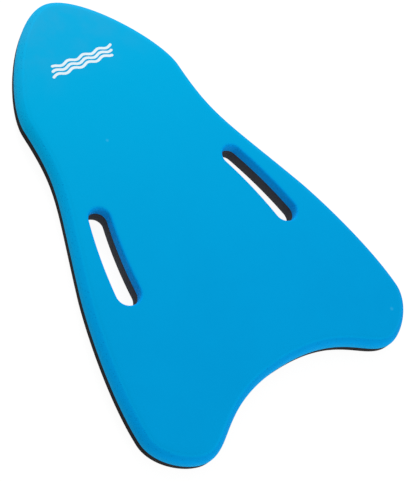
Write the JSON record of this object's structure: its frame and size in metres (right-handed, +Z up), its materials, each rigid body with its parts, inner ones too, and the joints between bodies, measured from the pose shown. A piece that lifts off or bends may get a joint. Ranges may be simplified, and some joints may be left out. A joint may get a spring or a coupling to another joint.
{
  "type": "kickboard float",
  "caption": "Flat swimming float with a rounded nose, flared two-lobed tail, hollowed tail edge and a pair of splayed through hand slots, laminated from two foam sheets.",
  "frame": {"origin": "middle of the footprint, on the flat underside", "axes": "+Y from tail to nose, +X to the swimmer's right when lying on the board facing the nose, +Z up out of the deck"},
  "size_m": [0.308, 0.44, 0.0256],
  "materials": {
    "deck_foam": "matt closed-cell EVA foam with a fine skin",
    "base_foam": "matt closed-cell EVA foam",
    "bond_film": "dried contact adhesive",
    "printed_mark": "screen-printed ink, satin"
  },
  "bodies": {
    "root": {"deck_foam": "deck_foam", "base_foam": "base_foam", "bond_film": "bond_film", "printed_mark": "printed_mark"}
  },
  "joints": []
}
